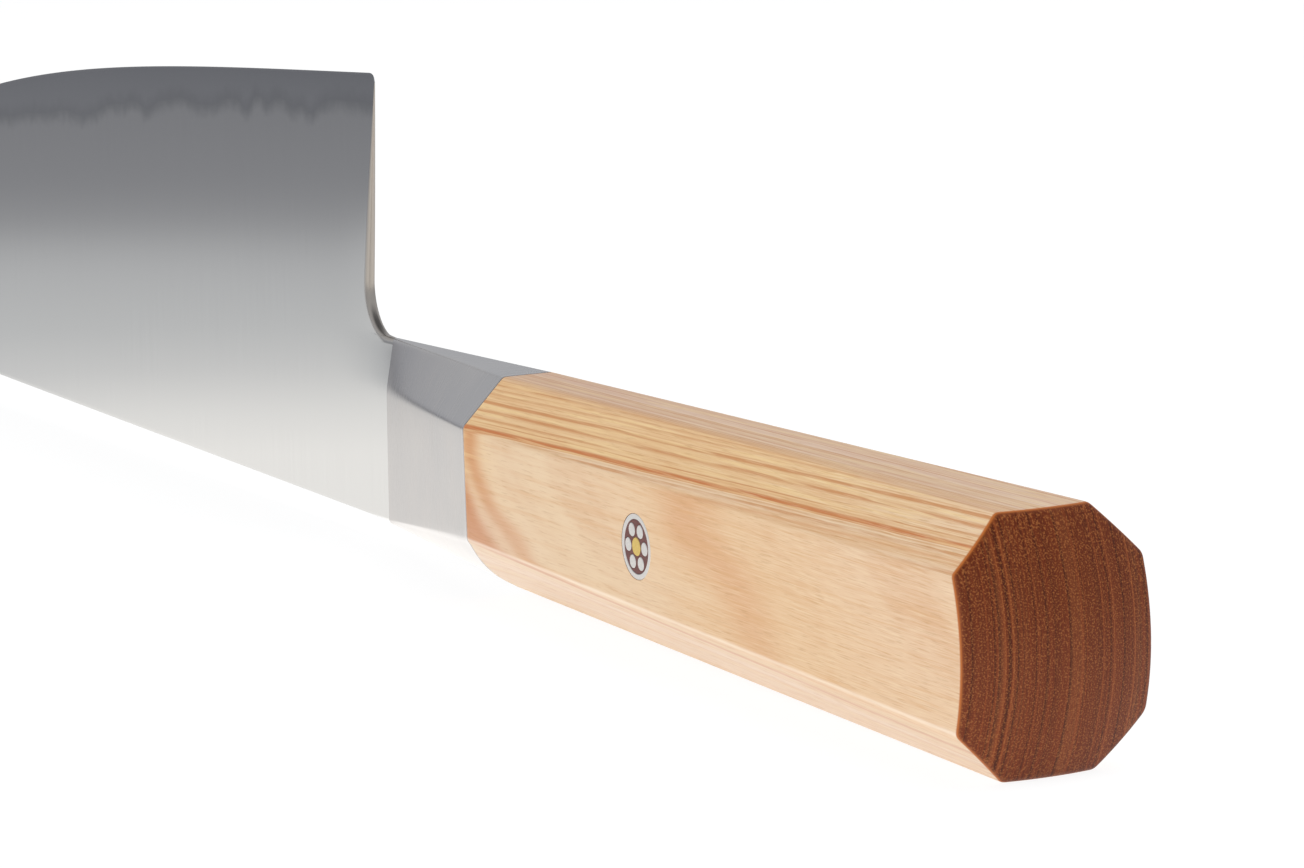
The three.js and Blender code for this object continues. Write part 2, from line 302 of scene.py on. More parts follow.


# %% [markdown]
# The colours are laid over each other as thin glazes. Each glaze has a colour and says where it
# lies: the pattern it follows, from which value to which, and its strength at both. Where a glaze
# follows several patterns their strengths are multiplied. The first ones belong to the long grain,
# where the top is painted darker and rosier as shade, and the lower edges and facets are painted
# paler as a highlight from the white table. The last ones belong to the end grain, which is painted
# darker towards its top as shade. Patterns that come again have a name.

# %% Wood finish
wood_smooth = 0.42
wood_rough = 0.52
wood_shine = 0.25
pore_depth = 0.03
pore_relief = 0.2
below_skin = ("depth", 7.15, 7.4, 1.0, 0.0)
stronger_above = ("height", -9.0, 5.0, 0.55, 1.0)
stronger_at_butt = ("along", 10.0, 90.0, 0.25, 1.0)
on_end = ("end", 0.3, 0.75, 0.0, 1.0)
wood_base = "#ecd5bf"
wood_glazes = (
    ("#e8cca8", ("bands", 0.35, 0.65, 0.0, 1.0)),
    ("#e5bb88", ("depth", 7.6, 8.1, 0.0, 0.5)),
    ("#e6bd84", ("height", -3.0, 5.0, 0.0, 0.8), ("depth", 2.2, 3.2, 0.0, 1.0), below_skin,
     ("along", 55.0, 110.0, 1.0, 0.5)),
    ("#c47c40", ("rings", 0.42, 0.66, 0.0, 1.0), ("flank", 0.85, 0.97, 0.8, 0.22),
     ("height", -7.0, 3.0, 0.25, 1.0), ("streaks", 0.3, 0.6, 0.35, 1.0)),
    ("#c46f35", ("depth", 6.8, 7.03, 0.0, 0.95), ("depth", 7.1, 7.2, 1.0, 0.0), stronger_above),
    ("#c97a3e", ("depth", 7.15, 7.23, 0.0, 0.6), ("depth", 7.23, 7.31, 1.0, 0.0), stronger_above),
    ("#c97a3e", ("depth", 7.92, 8.11, 0.0, 0.4), ("depth", 8.11, 8.28, 1.0, 0.0), stronger_above),
    ("#d9a56c", ("streaks", 0.45, 0.75, 0.0, 0.3)),
    # Painted shade: the top near the bolster is greyed towards a darker pink.
    ("#c9a58c", ("height", 9.9, 10.2, 0.0, 0.35), ("along", 0.0, 45.0, 1.0, 0.0)),
    ("#f3d59c", ("streaks", 0.3, 0.5, 0.5, 0.0), ("height", -3.0, 5.0, 0.0, 1.0), below_skin),
    # Painted shade: the top facet, which faces up, is darker and rosier.
    ("#b9846a", ("up", 0.85, 0.97, 0.0, 0.22)),
    ("#cf9a5e", ("fibres", 0.5, 0.7, 0.0, 0.3), stronger_at_butt),
    ("#f7e2be", ("fibres", 0.3, 0.5, 0.3, 0.0), stronger_at_butt),
    ("#b57f4b", ("pores", 0.54, 0.74, 0.0, 0.28)),
    # Painted highlight: the lower corners and lower facets, which face the white table, are paler.
    ("#fdeedd", ("up", -0.55, -0.3, 0.2, 0.55), ("up", -0.25, -0.05, 1.0, 0.0)),
    ("#b9692f", ("end", 0.04, 0.25, 0.0, 1.0)),
    ("#521f06", on_end),
    ("#803510", on_end, ("rings", 0.34, 0.64, 0.0, 1.0)),
    ("#6a2b0a", on_end, ("bands", 0.3, 0.7, 0.0, 0.6)),
    ("#9c5a30", on_end, ("bands", 0.36, 0.5, 0.35, 0.0), ("streaks", 0.35, 0.65, 0.4, 1.0)),
    # Painted shade: the end grain is darker towards its top.
    ("#4a1700", on_end, ("height", -6.0, 9.0, 0.0, 0.4)),
    ("#3f1300", on_end, ("rings", 0.34, 0.46, 0.5, 0.0)),
    ("#a86030", on_end, ("rings", 0.58, 0.75, 0.0, 0.35)),
    ("#b06c38", on_end, ("flecks", 0.46, 0.7, 0.0, 0.6)),
)


def oiled_wood(name):
    """Glazes over the base colour, one by one, each as strong as the product of its patterns' strengths."""
    material, tree, shader, place, normal = new_finish(name)
    values = wood_patterns(tree, place, normal)
    colour = linear(wood_base)
    for tint, *followed in wood_glazes:
        strength = 1.0
        for label, start, end, at_start, at_end in followed:
            level = add_node(tree, "MapRange", {0: values[label], 1: start, 2: end, 3: at_start, 4: at_end},
                             interpolation_type="SMOOTHSTEP")[0]
            strength = add_node(tree, "Math", {0: strength, 1: level}, operation="MULTIPLY")[0]
        colour = add_node(tree, "Mix", {0: strength, 6: colour, 7: linear(tint)}, data_type="RGBA")[2]
    sanded = {0: values["pores"], **noise_span, 3: wood_smooth, 4: wood_rough}
    relief = {"Height": values["pores"], "Strength": pore_relief, "Distance": pore_depth * mm}
    set_inputs(tree, shader, {
        "Base Color": colour,
        "Roughness": add_node(tree, "MapRange", sanded)[0],
        "Normal": add_node(tree, "Bump", relief)[0],
        "Specular IOR Level": wood_shine,
    })
    return material


wood_finish = oiled_wood("oiled_pale_hardwood")
print("wood finish", wood_finish.name, "with", len(wood_glazes), "glazes")

# %% [markdown]
# ## Pin and glue
# The mosaic pin is a tube packed with rods and filled with coloured resin, then sawn and sanded
# flush with the wood. Sanding leaves fine random scratches on the metals and a duller resin. The
# glue bed round the tang is amber epoxy with small bubbles, and never shows on the finished knife.

# %% Pin finishes
speck_low = 0.35
speck_high = 0.65
sanding_spread = 0.06


def speckled(name, colour, other_colour, speck, roughness, metallic):
    """A sanded surface: fine noise mixes two close colours and varies the roughness with them."""
    material, tree, shader, place, _ = new_finish(name)
    grains = add_node(tree, "TexNoise", {"Vector": place, "Scale": 1 / speck, "Detail": 4.0})[0]
    tone = add_node(tree, "MapRange", {0: grains, 1: speck_low, 2: speck_high})[0]
    base = add_node(tree, "Mix", {0: tone, 6: linear(other_colour), 7: linear(colour)}, data_type="RGBA")
    sanded = {0: grains, **noise_span, 3: roughness - sanding_spread, 4: roughness + sanding_spread}
    rough = add_node(tree, "MapRange", sanded)[0]
    set_inputs(tree, shader, {"Base Color": base[2], "Roughness": rough, "Metallic": metallic})
    return material


pale_metal_finish = speckled("sanded_nickel_silver", "#f3f0ed", "#e6e4e2", 0.2, 0.5, 1.0)
brass_finish = speckled("sanded_brass", "#f6dc8c", "#ebcb74", 0.2, 0.5, 1.0)
resin_finish = speckled("sanded_red_brown_resin", "#713b34", "#5a2b28", 0.25, 0.5, 0.0)
epoxy_finish = speckled("amber_epoxy", "#c9b07a", "#b89c62", 1.2, 0.25, 0.0)
for node, finish in (("tang", tang_finish), ("tang_epoxy_bed", epoxy_finish)):
    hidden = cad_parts[node].data.materials
    hidden.clear()
    hidden.append(finish)
print("pin finishes", pale_metal_finish.name, brass_finish.name, resin_finish.name)

# %% [markdown]
# ## Blade
# A gyuto's outline is an almost straight spine and an edge that runs flat from the heel and then
# curves up to meet it. In section the blade is a wedge that bulges a little. So the side is a
# function of two numbers: s, the distance from the heel towards the tip, and v, from 0 at the edge
# to 1 at the spine. The rows of the grid keep their v all along the blade. Their back ends lie on
# the outline behind the heel, which is a rounded heel, a straight choil and the hollow of the neck.

# %% Blade sizes and formulas
blade_length = 210.0
heel_height = 45.6
tip_height = 0.8
edge_slope = math.tan(math.radians(3.37))
belly_power = 3.7
spine_drop = 8.6
spine_slope = math.tan(math.radians(0.5))
tip_drop = 1.8
tip_drop_power = 8
neck_length = 2.8
neck_top = 10.3
neck_foot = 3.15
neck_radius = 4.6
heel_rounding = 1.4
spine_thickness = 2.3
tip_thickness = 1.0
grind_power = 0.85
core_thickness = 0.26
core_tip_thickness = 0.16
bolster_length = 31.4
neck_side_top = 5.1
neck_top_half = 0.35
neck_blend = 16.0
ridge_softness = 0.3
heel_x = -(bolster_length + neck_length)


def between(start, end, t):
    """The value at share t of the way from start to end."""
    return start + (end - start) * t


def along_blade(s):
    """Share of the blade's length, 0 at the heel and behind it."""
    return np.clip(s, 0, None) / blade_length


def spine_z(s):
    """Spine: a gentle straight rise, with a last drop to the tip by a high power of the length."""
    return -spine_drop + s * spine_slope + tip_drop * along_blade(s) ** tip_drop_power


def blade_height(s):
    """Height of the blade: a straight fall from the heel less the belly's power curve."""
    belly = heel_height - blade_length * edge_slope - tip_height
    return heel_height - s * edge_slope - belly * along_blade(s) ** belly_power


def half_spine(s):
    """Half the spine's thickness, thinning evenly to the tip."""
    return between(spine_thickness, tip_thickness, along_blade(s)) / 2


def half_thickness(s, v):
    """Half the blade's thickness: the spine's, times v to a power below 1, which bulges the wedge."""
    return half_spine(s) * v ** grind_power


def row_z(s, v):
    """Height of row v: from the edge at v = 0 to the spine at v = 1."""
    return spine_z(s) + (1 - v) * blade_height(s)


def neck_half(z):
    """Half the blade's thickness where it meets the bolster, at height z."""
    return half_thickness(-neck_length, 1 - (z - spine_z(-neck_length)) / blade_height(-neck_length))


def neck_thinning(s, z):
    """How much thinner the blade is ground towards the bolster's upper bevel.

    The lesser of an even rise to the neck's top and a square fall above it, with a soft ridge
    where they meet, fades along the blade by a square.
    """
    rise = np.clip((z - neck_side_top) / (neck_top - neck_side_top), 0, None)
    fall = np.clip(1 - (z - neck_top) / neck_blend, 0, None) ** 2
    lesser = (rise + fall - np.sqrt((rise - fall) ** 2 + ridge_softness ** 2)) / 2
    fade_along = np.clip(1 - (s + neck_length) / neck_blend, 0, 1)
    return (neck_half(neck_top) - neck_top_half) * np.clip(lesser, 0, 1) * fade_along ** 2


print("heel at", heel_x, "mm, tip at", heel_x - blade_length, "mm")

# %% [markdown]
# The weld line is where the ground side cuts the core's wavy face. Slow waves and a row of rounded
# drips are added up to give the uneven line that forge welding leaves. A wave is given by its
# height, length and phase, a drip by its place, half width and height. The drips come again after
# a run.

# %% Weld line
weld_offset = 0.3
weld_waves = ((0.8, 180.0, -2.16), (0.12, 11.7, 0.8), (0.10, 7.3, 2.1))
weld_drips = ((17.0, 2.2, 1.7), (21.5, 2.0, 1.0), (28.6, 1.3, 0.7), (34.5, 1.6, 1.4),
              (45.5, 5.0, 0.9), (64.0, 2.6, 1.2), (84.0, 7.0, 1.2), (98.5, 3.0, 0.5))
drip_run = 105.0


def weld_middle(s):
    """The v where the wedge is as thick as the core."""
    half_core = between(core_thickness, core_tip_thickness, along_blade(s)) / 2
    return (half_core / half_spine(s)) ** (1 / grind_power)


def weld_ripple(s):
    """Waves, and drips as bell curves that come again after a run, as a change of v."""
    wave = sum(height * np.sin(2 * np.pi * s / length + phase) for height, length, phase in weld_waves)
    in_run = s % drip_run
    drip = sum(height * np.exp(-((in_run - place) / width) ** 2) for place, width, height in weld_drips)
    return (weld_offset + wave + drip) / heel_height


def weld_row(s):
    """The v of the weld line."""
    return weld_middle(s) + weld_ripple(s)


some_s = np.linspace(0, 100, 11)
print("bare core in mm:", np.round(weld_row(some_s) * blade_height(some_s), 1))

# %% [markdown]
# The back outline is walked from the edge down to the spine. Its points are the ends of the rows,
# which crowd at both ends of the seam with the bolster.

# %% Back outline of the blade
search_steps = 400
heel_rows = 8
choil_rows = 22
arc_rows = 18
weld_rows = 34


def edge_point(s):
    """Point of the edge at s, as x and z."""
    return np.array([heel_x - s, row_z(s, 0)])


def bend(start, corner, end, t):
    """Points at shares t of a quadratic curve from start to end, pulled towards the corner."""
    return (1 - t) ** 2 * start + 2 * t * (1 - t) * corner + t ** 2 * end


neck_centre = np.array([heel_x - neck_foot + neck_radius, neck_top + neck_radius])
heel = edge_point(0.0)
away = heel - neck_centre
foot_angle = math.atan2(away[1], away[0]) + math.acos(neck_radius / np.hypot(*away))
foot = neck_centre + neck_radius * np.array([math.cos(foot_angle), math.sin(foot_angle)])
below_heel = heel + (foot - heel) * heel_rounding / np.hypot(*(foot - heel))

line_share = np.linspace(0, 1, search_steps)[:, None]
choil_line = between(below_heel, foot, line_share)
choil_s = heel_x - choil_line[:, 0]
choil_v = 1 - (choil_line[:, 1] - spine_z(choil_s)) / blade_height(choil_s)
weld_share = np.interp(0, choil_v - weld_row(choil_s), line_share[:, 0])
weld_end = between(below_heel, foot, weld_share)

arc_angles = np.linspace(foot_angle, 1.5 * np.pi, arc_rows)[1:-1]
neck_arc = neck_centre + neck_radius * np.stack([np.cos(arc_angles), np.sin(arc_angles)], axis=1)
down_seam = (1 - np.cos(np.linspace(0, np.pi, weld_rows))) / 2
weld_heights = between(neck_top, spine_z(-neck_length), down_seam)
weld_seam = np.stack([np.full_like(weld_heights, -bolster_length), weld_heights], axis=1)

heel_share = np.linspace(0, 1, heel_rows)[:, None]
core_ends = np.vstack([bend(edge_point(heel_rounding), heel, below_heel, heel_share),
                       between(below_heel, weld_end, heel_share[1:])])
choil_ends = between(weld_end, foot, np.linspace(0, 1, choil_rows)[:, None])
side_ends = np.vstack([choil_ends, neck_arc, weld_seam])
print("weld line meets the choil at z =", round(float(weld_end[1]), 2), "mm")

# %% [markdown]
# Each layer is a slab between two grids that have the same rows and columns. The columns crowd
# towards the back, where the edges of the choil and the spine are eased by a fine file. Along the
# choil the file's finish is rougher, and its colour is darker and browner there: painted shade and a
# painted reflection of the wooden handle. The weld's ripple fades fast in the rows away from the
# weld, so the grid is even near the bolster.

# %% Blade layers
column_count = 300
crowding = 2.2
spine_easing = 0.32
choil_easing = 0.85
filed_reach = 1.5
edge_half = 0.006
layer_gap = 0.002
ripple_fading = 6
share_passes = 20
columns = np.linspace(0, 1, column_count) ** crowding


def slab(outer, inner):
    """Closed plate between two grids: both grids' quads, and a strip along each of the four borders."""
    rows, cols, _ = outer.shape
    count = rows * cols
    number = np.arange(count).reshape(rows, cols)
    ring = np.concatenate([number[0, :-1], number[:-1, -1], number[-1, :0:-1], number[:0:-1, 0]])
    strip = np.stack([ring, np.roll(ring, -1), np.roll(ring, -1) + count, ring + count], axis=-1)
    faces = grid_faces(rows, cols, False)
    back = [[a + count for a in face[::-1]] for face in faces]
    return np.vstack([outer.reshape(-1, 3), inner.reshape(-1, 3)]), faces + back + strip.tolist()


def rounded_off(distance, radius):
    """How far a quarter circle of that radius falls away at a distance from the border."""
    inside = radius - np.clip(distance, 0, radius)
    return radius - np.sqrt(radius ** 2 - inside ** 2)


def rows_to_tip(ends):
    """The s and v of the back ends of rows, and the s of all their points up to the tip."""
    s_end = heel_x - ends[:, :1]
    v_end = 1 - (ends[:, 1:] - spine_z(s_end)) / blade_height(s_end)
    return s_end, v_end, between(s_end, blade_length, columns)


def bare_grid(ends):
    """s and v of the bare core's rows, each at its share of the way from the edge to the weld line."""
    s_end, v_end, s = rows_to_tip(ends)
    share = np.clip(v_end / weld_row(s_end), 0, 1)
    return s, weld_row(s) * share


def side_grid(ends):
    """s and v of the cladding's rows, at shares of the way from weld line to spine.

    The weld's ripple fades by a power of the share that is left, and each row's share is found from
    its end by repeated substitution.
    """
    s_end, v_end, s = rows_to_tip(ends)
    share = np.zeros_like(v_end)
    for _ in range(share_passes):
        rest = v_end - weld_middle(s_end) - weld_ripple(s_end) * (1 - share) ** ripple_fading
        share = np.clip(rest / (1 - weld_middle(s_end)), 0, 1)
    return s, between(weld_middle(s), 1, share) + weld_ripple(s) * (1 - share) ** ripple_fading


def from_outline(x, z):
    """Distance from the back outline: from the choil's line above its foot, from the neck's circle below."""
    along = (below_heel - foot) / np.hypot(*(below_heel - foot))
    from_line = (z - foot[1]) * along[0] - (x - foot[0]) * along[1]
    from_circle = np.hypot(np.minimum(x - neck_centre[0], 0), z - neck_centre[1]) - neck_radius
    return np.where(z > foot[1], from_line, from_circle)


def filed_over(s, v, half):
    """Half thickness with the choil's edge rounded over, and how much of the file's finish and its painted
    shade show there.
    """
    distance = from_outline(heel_x - s, row_z(s, v))
    radius = np.maximum(choil_easing * half, edge_half)
    return half - rounded_off(distance, radius), np.clip(filed_reach - distance / radius, 0, 1)


def add_plate(name, s, v, halves, filed_and_shaded, *labels):
    """A layer between two surfaces, each half a thickness from the middle plane."""
    outer, inner = [np.stack([heel_x - s, half, row_z(s, v)], axis=-1) for half in halves]
    to_weld = np.abs(v - weld_row(s)) * blade_height(s)
    # The filed share also carries the filed edge's painted shade.
    values = {"weld_distance": np.stack([to_weld, to_weld]), "filed_and_shaded": np.stack([filed_and_shaded, filed_and_shaded])}
    add_piece(name, *slab(outer, inner), *labels, values=values)


bare_s, bare_v = bare_grid(core_ends)
side_s, side_v = side_grid(side_ends)
bare_half, bare_filed_and_shaded = filed_over(bare_s, bare_v, half_thickness(bare_s, bare_v))
bare_half = np.maximum(bare_half, edge_half)
thinned = half_thickness(side_s, side_v) - neck_thinning(side_s, row_z(side_s, side_v))
side_half, side_filed_and_shaded = filed_over(side_s, side_v, thinned)
side_half = side_half - rounded_off((1 - side_v) * blade_height(side_s), spine_easing)
side_half = np.maximum(side_half, edge_half + layer_gap)
weld_half = np.minimum(half_thickness(side_s, weld_row(side_s)), side_half - layer_gap)

core_s = np.vstack([bare_s, side_s])
core_v = np.vstack([bare_v, side_v])
core_half = np.vstack([bare_half, weld_half - layer_gap / 2])
core_filed_and_shaded = np.vstack([bare_filed_and_shaded, side_filed_and_shaded])
add_plate("core_plate", core_s, core_v, (core_half, -core_half), core_filed_and_shaded,
          core_finish, "core_steel", "blade_core")
for side, hand in ((1, "left"), (-1, "right")):
    add_plate(f"{hand}_side_plate", side_s, side_v, (side * side_half, side * weld_half), side_filed_and_shaded,
              cladding_finish, "cladding_steel", f"cladding_{hand}")

# %% [markdown]
# ## Octagons along the handle
# Handle and bolster are both octagons carried along X, wide at the butt and drawn in to the blade.
# Real facets meet in eased edges, and the two lower facets near the bolster are fuller than flat, so
# each ring is built corner by corner: a small curve round the corner, then points along the facet
# with an optional swell. All rings are worked out together as one array.

# %% Soft octagons
corner_steps = 6
facet_steps = 14
lower_facets = (0, 6)
least_share = 1e-9


def soft_octagons(corners, easings, swell):
    """Rings from corners (ring, corner, yz): a quadratic curve at each corner, then the facet's points.

    The curve starts and ends one easing before and after the corner. The lower facets swell by
    4 t (1 - t) times the swell, so they bulge most in the middle.
    """
    ahead = np.roll(corners, -1, axis=1) - corners
    ahead = ahead / np.linalg.norm(ahead, axis=2, keepdims=True)
    outward = np.stack([ahead[..., 1], -ahead[..., 0]], axis=-1)
    start = corners - easings[..., None] * np.roll(ahead, 1, axis=1)
    end = corners + easings[..., None] * ahead
    t = np.linspace(0, 1, corner_steps)[:, None]
    curve = bend(start[:, :, None], corners[:, :, None], end[:, :, None], t)
    f = np.linspace(0, 1, facet_steps + 2)[1:-1, None]
    facet = between(end[:, :, None], np.roll(start, -1, axis=1)[:, :, None], f)
    bulge = np.zeros(corners.shape[:2])
    bulge[:, lower_facets] = np.asarray(swell)[:, None]
    facet = facet + 4 * f * (1 - f) * (bulge[..., None] * outward)[:, :, None]
    return np.concatenate([curve, facet], axis=2).reshape(len(corners), -1, 2)


def mirrored_corners(right):
    """Eight corners from the four on the +Y side, going round from +Y to +Z."""
    left = right[:, ::-1] * np.array([-1, 1])
    return np.concatenate([right, left], axis=1)


def at_x(rings, x):
    """Adds x to rings of y and z."""
    x = np.broadcast_to(np.asarray(x, float).reshape(len(rings), -1), rings.shape[:2])
    return np.concatenate([x[..., None], rings], axis=-1)


def rectangle_ring(ring, half_y, half_z):
    """The points of a rectangle in the directions of a ring's points, for the mouth of a slot."""
    direction = ring / np.linalg.norm(ring, axis=1, keepdims=True)
    share = np.maximum(abs(direction), least_share)
    reach = np.minimum(half_y / share[:, 0], half_z / share[:, 1])
    return direction * reach[:, None]


def drawn_in(ring, distance):
    """A ring with every point moved a distance towards the middle."""
    return ring * (1 - distance / np.linalg.norm(ring, axis=1, keepdims=True))


def ring_body(rings, first_pole, last_pole):
    """Closed body from rings of points, with a fan to a pole at each end."""
    count, size, _ = rings.shape
    faces = grid_faces(count, size, True)
    pole = count * size
    here = np.arange(size)
    beside = (here + 1) % size
    last = (count - 1) * size
    faces += np.stack([np.full(size, pole), beside, here], axis=1).tolist()
    faces += np.stack([np.full(size, pole + 1), here + last, beside + last], axis=1).tolist()
    return np.vstack([rings.reshape(-1, 3), [first_pole, last_pole]]), faces


# %% [markdown]
# ## Handle
# The block starts with the octagon of the bolster and grows evenly towards the butt, which is a
# shallow dome. It could be a subdivided cube, but the dome meets the eight facets in a wavy rim, so
# each point of the rim is found on its own facet and on the dome at once, by repeated substitution.
# The rim is rounded over. Inside, the slot for the tang is part of the same closed surface.

# %% Handle sizes and block
handle_length = (handle_high.x - handle_low.x) / mm
junction_width = 14.2
junction_height = 20.6
junction_upper_chamfer = 4.45
junction_lower_chamfer = 5.1
butt_width = 17.8
butt_height = 22.2
butt_chamfer = 4.5
dome_width_radius = 22.0
dome_height_radius = 18.5
lower_rounding = 0.55
lower_rounding_length = 28.0
wood_easing = np.array([0.35, 0.5, 0.35, 0.35])
joint_easing = 0.05
rim_rounding = 0.55
tang_length = 66.0
tang_thickness = 2.8
tang_height = 12.0
tang_end_height = 8.5
glue_thickness = 0.9
straight_share = 0.85
first_station = 0.5
handle_steps = 60
rim_steps = 9
rim_passes = 12
dome_steps = 26


def handle_corners(x):
    """The octagon's corners at x: width, height and chamfers change evenly along the handle."""
    t = np.asarray(x, float) / handle_length
    y = between(junction_width, butt_width, t) / 2
    z = between(junction_height, butt_height, t) / 2
    upper = between(junction_upper_chamfer, butt_chamfer, t)
    lower = between(junction_lower_chamfer, butt_chamfer, t)
    right = [(y - lower, -z), (y, lower - z), (y, z - upper), (y - upper, z)]
    return mirrored_corners(np.stack([np.stack(pair, axis=-1) for pair in right], axis=1))


def handle_rings(x):
    """Rings of the handle at the given x, fuller below near the bolster."""
    x = np.asarray(x, float)
    swell = lower_rounding * np.clip(1 - x / lower_rounding_length, 0, 1) ** 2
    easing = np.tile(np.concatenate([wood_easing, wood_easing[::-1]]), (len(x), 1))
    return soft_octagons(handle_corners(x), easing, swell)


def dome_x(ring):
    """The butt's dome: it falls away from its top by y squared and z squared over twice their radii."""
    across = ring[..., 0] ** 2 / (2 * dome_width_radius)
    upwards = ring[..., 1] ** 2 / (2 * dome_height_radius)
    return handle_length - across - upwards


near_butt = straight_share * handle_length
start_ring, end_ring = handle_rings([near_butt, handle_length])


def ring_near_butt(x):
    """The handle's ring between near_butt and the end, where every point moves in a straight line."""
    return between(start_ring, end_ring, ((x - near_butt) / (handle_length - near_butt))[:, None])


rim_x = np.full(len(start_ring), handle_length)
for _ in range(rim_passes):
    rim_x = dome_x(ring_near_butt(rim_x))
rim = ring_near_butt(rim_x)
before_rim = np.column_stack([rim_x - rim_rounding, ring_near_butt(rim_x - rim_rounding)])
on_dome = drawn_in(rim, rim_rounding)
after_rim = np.column_stack([dome_x(on_dome), on_dome])
rim_points = np.column_stack([rim_x, rim])
rim_share = np.linspace(0, 1, rim_steps)[:, None, None]
rim_curve = bend(before_rim, rim_points, after_rim, rim_share)

dome_share = np.linspace(1, 0, dome_steps)[1:-1, None, None]
dome_rings = on_dome[None] * dome_share
dome_part = np.concatenate([dome_x(dome_rings)[..., None], dome_rings], axis=-1)

stations = np.concatenate([[joint_easing], np.linspace(first_station, near_butt, handle_steps)])
straight_part = at_x(handle_rings(stations), stations)
front = handle_rings([0.0])[0]
front_edge = drawn_in(front, joint_easing)
slot_half = tang_thickness / 2 + glue_thickness
slot_mouth = rectangle_ring(front, slot_half, tang_height / 2 + glue_thickness)
slot_end = rectangle_ring(front, slot_half, tang_end_height / 2 + glue_thickness)
slot_length = tang_length + glue_thickness
inside = at_x(np.stack([slot_end, slot_mouth, front_edge]), [slot_length, 0.0, 0.0])
all_rings = np.concatenate([inside, straight_part, rim_curve, dome_part])
block = ring_body(all_rings, [slot_length, 0, 0], [handle_length, 0, 0])
handle_block = add_piece("handle_block", *block, wood_finish, "pale_wood", "handle")

# %% [markdown]
# ## Bolster
# The bolster starts a small shoulder thicker than the blade and opens out to the handle's octagon.
# It was ground by hand, so the edge between its side and its upper bevel is crisp at the wood and
# softer towards the blade. That is one easing for each corner, which changes along the bolster.

# %% Bolster block
neck_chamfer_height = 0.4
neck_chamfer_width = 0.2
socket_depth = 12.0
steel_joint_easing = 0.12
seat_gap = 0.3
neck_shoulder = 0.5
neck_easing = np.array([0.15, 0.15, 0.6, choil_easing * neck_top_half])
bolster_steps = 48

neck_bottom = spine_z(-neck_length)
neck_lower = neck_bottom + neck_chamfer_height
foot_half = neck_half(neck_lower) + neck_shoulder
bevel_half = neck_half(neck_side_top) + neck_shoulder
neck_right = np.array([[foot_half - neck_chamfer_width, neck_bottom], [foot_half, neck_lower],
                       [bevel_half, neck_side_top], [neck_top_half, neck_top]])
bolster_share = np.linspace(1, 0, bolster_steps)[:, None, None]
wood_corners = handle_corners([0.0])
bolster_corners = between(wood_corners, mirrored_corners(neck_right[None]), bolster_share)
right_easing = between(wood_easing, neck_easing, bolster_share[:, 0])
bolster_easing = np.concatenate([right_easing, right_easing[:, ::-1]], axis=1)
bolster_swell = lower_rounding * (1 - bolster_share[:, 0, 0])
bolster_rings = soft_octagons(bolster_corners, bolster_easing, bolster_swell)
bolster_part = at_x(bolster_rings, -bolster_length * bolster_share[:, 0, 0])
last_ring = bolster_rings[-1]
bolster_part[-1, :, 0] = -steel_joint_easing
back_edge = drawn_in(last_ring, steel_joint_easing)
socket = rectangle_ring(last_ring, tang_thickness / 2 + seat_gap, tang_height / 2 + seat_gap)
socket_part = at_x(np.stack([back_edge, socket, socket]), [0.0, 0.0, -socket_depth])
steel_rings = np.concatenate([bolster_part, socket_part])
bolster_body = ring_body(steel_rings, [-bolster_length, 0, 0], [-socket_depth, 0, 0])
add_piece("bolster_block", *bolster_body, bolster_finish, "bolster_steel", "bolster")

# %% [markdown]
# ## Mosaic pin
# Everything in the pin is round and runs across the handle. Each part is a profile turned about its
# own axis, whose two ends follow the handle's side facets, because the pin is sanded together with
# the wood. The hole in the wood is cut with a Boolean modifier that is applied at once.

# %% Pin sizes and turned parts
pin_x = 38.4
pin_radius = 3.0
pin_bore = 2.5
centre_rod_radius = 0.85
rod_count = 6
resin_wall = 0.2
pin_edge = 0.04
pin_gap = 0.03
around = 64
angles = np.linspace(0, 2 * np.pi, around, endpoint=False)
rod_circle = (pin_bore + centre_rod_radius) / 2
rod_room = min(pin_bore - centre_rod_radius, 2 * rod_circle * math.sin(math.pi / rod_count))
rod_radius = rod_room / 2 - resin_wall


def facet_half(x):
    """Half the handle's width at x, where the pin's ends are sanded flush."""
    return between(junction_width, butt_width, x / handle_length) / 2


def circle(x, z, radius):
    """x and z of the points of a circle round a centre."""
    return x + radius * np.cos(angles), z + radius * np.sin(angles)


def turned(centre, profile):
    """Rings of a profile of (radius, depth below the facet) pairs at one end, mirrored to the other end."""
    rings = []
    for side in (1, -1):
        for radius, depth in profile[::side]:
            x, z = circle(pin_x + centre[0], centre[1], radius)
            rings.append(np.stack([x, side * (facet_half(x) - depth), z], axis=1))
    return np.stack(rings)


def add_rod(name, centre, radius, finish, slot, node):
    """A rod with eased ends, closed by a fan at each end."""
    x = pin_x + centre[0]
    rings = turned(centre, [(radius - pin_edge, 0.0), (radius, pin_edge)])
    end = facet_half(x)
    body = ring_body(rings, [x, end, centre[1]], [x, -end, centre[1]])
    add_piece(name, *body, finish, slot, node)


add_rod("brass_rod", (0.0, 0.0), centre_rod_radius, brass_finish, "pin_brass", "pin_centre_rod")
rod_places = [(rod_circle * math.cos(angle), rod_circle * math.sin(angle))
              for angle in 2 * np.pi * np.arange(1, rod_count + 1) / rod_count]
for number, rod_place in enumerate(rod_places, 1):
    add_rod(f"pale_rod_{number}", rod_place, rod_radius, pale_metal_finish, "pin_metal", f"pin_rod_{number}")

